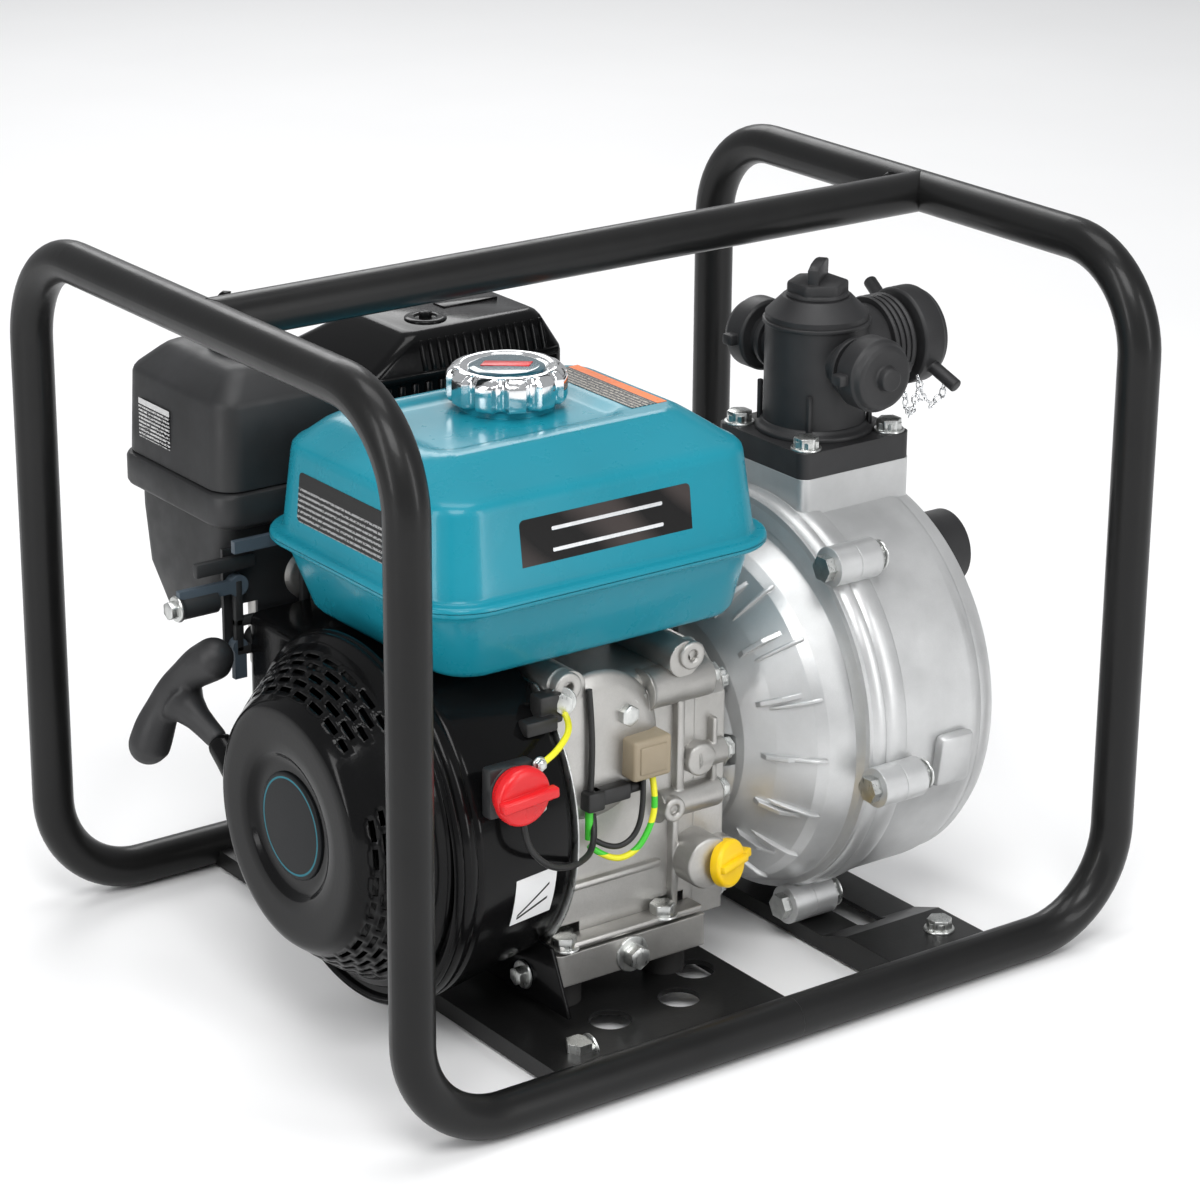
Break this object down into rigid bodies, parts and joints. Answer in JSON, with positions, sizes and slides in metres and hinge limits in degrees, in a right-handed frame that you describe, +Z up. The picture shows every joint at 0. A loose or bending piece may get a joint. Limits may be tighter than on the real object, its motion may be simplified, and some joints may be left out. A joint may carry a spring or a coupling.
{
  "type": "engine driven high-lift water pump",
  "caption": "Petrol-engined centrifugal water pump in a black tube roll frame, with a teal fuel tank, cast drum casing, three-way capped discharge head and recoil starter.",
  "frame": {"origin": "on the floor under the middle of the roll frame", "axes": "+X along the crankshaft from the recoil starter to the pump, -Y the name-plate side of the tank, +Z up"},
  "size_m": [0.5354, 0.4294, 0.44],
  "materials": {
    "frame_enamel": "gloss black powder coat",
    "bright_zinc": "bright zinc plate",
    "mount_rubber": "matte black rubber",
    "engine_casting": "bead-blasted die casting",
    "bearing_steel": "ground steel",
    "black_enamel": "high gloss black",
    "soot_steel": "heat-resistant matte",
    "pump_casting": "silver painted die casting",
    "manifold_plastic": "fine texture",
    "filter_plastic": "fine texture",
    "grip_plastic": "soft satin",
    "foam": "open foam",
    "rope": "braided nylon",
    "tank_enamel": "gloss teal enamel",
    "cap_chrome": "mirror plate",
    "switch_red": "gloss",
    "stick_yellow": "gloss",
    "lever_slate": "satin",
    "alert_beige": "satin potting",
    "wire_cover": "pvc"
  },
  "bodies": {
    "frame": {"hoop_recoil_end": "frame_enamel", "hoop_pump_end": "frame_enamel", "top_bar": "frame_enamel", "engine_tray": "frame_enamel", "pump_crossmember": "frame_enamel", "frame_bolts": "bright_zinc", "cover_bolts": "bright_zinc", "pump_bolts": "bright_zinc", "drain_bolt": "bright_zinc", "baffle_plate": "bright_zinc", "carb_spacer": "bright_zinc", "rubber_mounts": "mount_rubber", "engine_block": "engine_casting", "crankcase_cover": "engine_casting", "cylinder_head": "engine_casting", "carburetor": "engine_casting", "main_bearings": "bearing_steel", "shaft_seal": "bearing_steel", "spark_plug": "bearing_steel", "blower_housing": "black_enamel", "rocker_cover": "black_enamel", "muffler_guard": "black_enamel", "recoil_housing": "black_enamel", "muffler": "soot_steel", "pump_bracket": "pump_casting", "pump_casing": "pump_casting", "volute": "pump_casting", "discharge_manifold": "manifold_plastic", "suction_port": "manifold_plastic", "air_cleaner_cover": "filter_plastic", "air_cleaner_base": "filter_plastic", "control_plate": "filter_plastic", "plug_cap": "filter_plastic", "switch_body": "filter_plastic", "filter_element": "foam", "tank_upper": "tank_enamel", "tank_lower": "tank_enamel", "oil_alert_unit": "alert_beige", "engine_wires": "wire_cover"},
    "rotor": {"crankshaft": "bearing_steel", "flywheel_fan": "engine_casting", "impeller": "pump_casting"},
    "camshaft": {"camshaft_gear": "bearing_steel"},
    "piston": {"piston": "engine_casting"},
    "connecting_rod": {"connecting_rod": "bearing_steel"},
    "recoil_reel": {"recoil_reel": "filter_plastic"},
    "starter_handle": {"recoil_handle": "grip_plastic", "starter_rope": "rope"},
    "fuel_cap": {"fuel_cap": "cap_chrome"},
    "priming_plug": {"priming_plug": "manifold_plastic"},
    "outlet_cap_front": {"outlet_cap_front": "manifold_plastic"},
    "outlet_cap_back": {"outlet_cap_back": "manifold_plastic"},
    "outlet_cap_main": {"outlet_cap_main": "manifold_plastic"},
    "engine_switch": {"switch_knob": "switch_red"},
    "dipstick": {"dipstick": "stick_yellow"},
    "choke_lever": {"choke_lever": "lever_slate"},
    "fuel_tap_lever": {"fuel_tap_lever": "lever_slate"},
    "throttle_lever": {"throttle_lever": "lever_slate"},
    "air_cleaner_knob": {"air_cleaner_knob": "filter_plastic"},
    "suction_flap": {"suction_flap": "mount_rubber"}
  },
  "joints": [
    {"name": "crank_spin", "type": "hinge", "parent": "frame", "child": "rotor", "pos_m": [0, -0.044, 0.1368], "axis": [1, 0, 0], "continuous": true},
    {"name": "camshaft_spin", "type": "hinge", "parent": "frame", "child": "camshaft", "pos_m": [0, -0.00543, 0.09084], "axis": [1, 0, 0], "continuous": true},
    {"name": "piston_slide", "type": "slide", "parent": "frame", "child": "piston", "axis": [0, 0.9063, 0.4226], "range_m": [-0.054, 0]},
    {"name": "rod_swing", "type": "hinge", "parent": "piston", "child": "connecting_rod", "pos_m": [-0.049, 0.0566, 0.18371], "axis": [1, 0, 0], "range_deg": [-17, 17]},
    {"name": "handle_pull", "type": "slide", "parent": "frame", "child": "starter_handle", "axis": [0, 0.866, 0.5], "range_m": [0, 0.06], "stiffness_N_per_m": 80, "springref_m": -0.03},
    {"name": "reel_turn", "type": "hinge", "parent": "frame", "child": "recoil_reel", "pos_m": [0, -0.044, 0.1368], "axis": [1, 0, 0], "range_deg": [0, 112]},
    {"name": "fuel_cap_turn", "type": "hinge", "parent": "frame", "child": "fuel_cap", "pos_m": [-0.06, -0.01, 0.36], "axis": [0, 0, 1], "range_deg": [0, 90]},
    {"name": "priming_plug_turn", "type": "hinge", "parent": "frame", "child": "priming_plug", "pos_m": [0.142, -0.044, 0.39], "axis": [0, 0, 1], "range_deg": [0, 360]},
    {"name": "front_cap_turn", "type": "hinge", "parent": "frame", "child": "outlet_cap_front", "pos_m": [0.142, -0.1, 0.352], "axis": [0, -1, 0], "range_deg": [0, 360]},
    {"name": "back_cap_turn", "type": "hinge", "parent": "frame", "child": "outlet_cap_back", "pos_m": [0.142, 0.01, 0.352], "axis": [0, 1, 0], "range_deg": [0, 360]},
    {"name": "main_cap_turn", "type": "hinge", "parent": "frame", "child": "outlet_cap_main", "pos_m": [0.21, -0.044, 0.352], "axis": [1, 0, 0], "range_deg": [0, 360]},
    {"name": "switch_turn", "type": "hinge", "parent": "frame", "child": "engine_switch", "pos_m": [-0.158, -0.165, 0.18], "axis": [0, -1, 0], "range_deg": [0, 60]},
    {"name": "dipstick_turn", "type": "hinge", "parent": "frame", "child": "dipstick", "pos_m": [0.018, -0.13, 0.0788], "axis": [0, -1, 0], "range_deg": [0, 360]},
    {"name": "choke_turn", "type": "hinge", "parent": "frame", "child": "choke_lever", "pos_m": [-0.196, 0.07, 0.24], "axis": [0, 1, 0], "range_deg": [0, 20]},
    {"name": "fuel_tap_turn", "type": "hinge", "parent": "frame", "child": "fuel_tap_lever", "pos_m": [-0.196, 0.07, 0.202], "axis": [0, 1, 0], "range_deg": [0, 25]},
    {"name": "throttle_turn", "type": "hinge", "parent": "frame", "child": "throttle_lever", "pos_m": [-0.117, 0.065, 0.25], "axis": [0, -1, 0], "range_deg": [0, 12]},
    {"name": "knob_turn", "type": "hinge", "parent": "frame", "child": "air_cleaner_knob", "pos_m": [-0.157, 0.127, 0.37], "axis": [0, 0, 1], "range_deg": [0, 360]},
    {"name": "flap_swing", "type": "hinge", "parent": "frame", "child": "suction_flap", "pos_m": [0.1658, -0.044, 0.2338], "axis": [0, 1, 0], "range_deg": [0, 20]}
  ],
  "couplings": [
    {"joint": "camshaft_spin", "follows": "crank_spin", "ratio": -0.5},
    {"joint": "reel_turn", "follows": "handle_pull", "rad_per_m": 32.258}
  ]
}
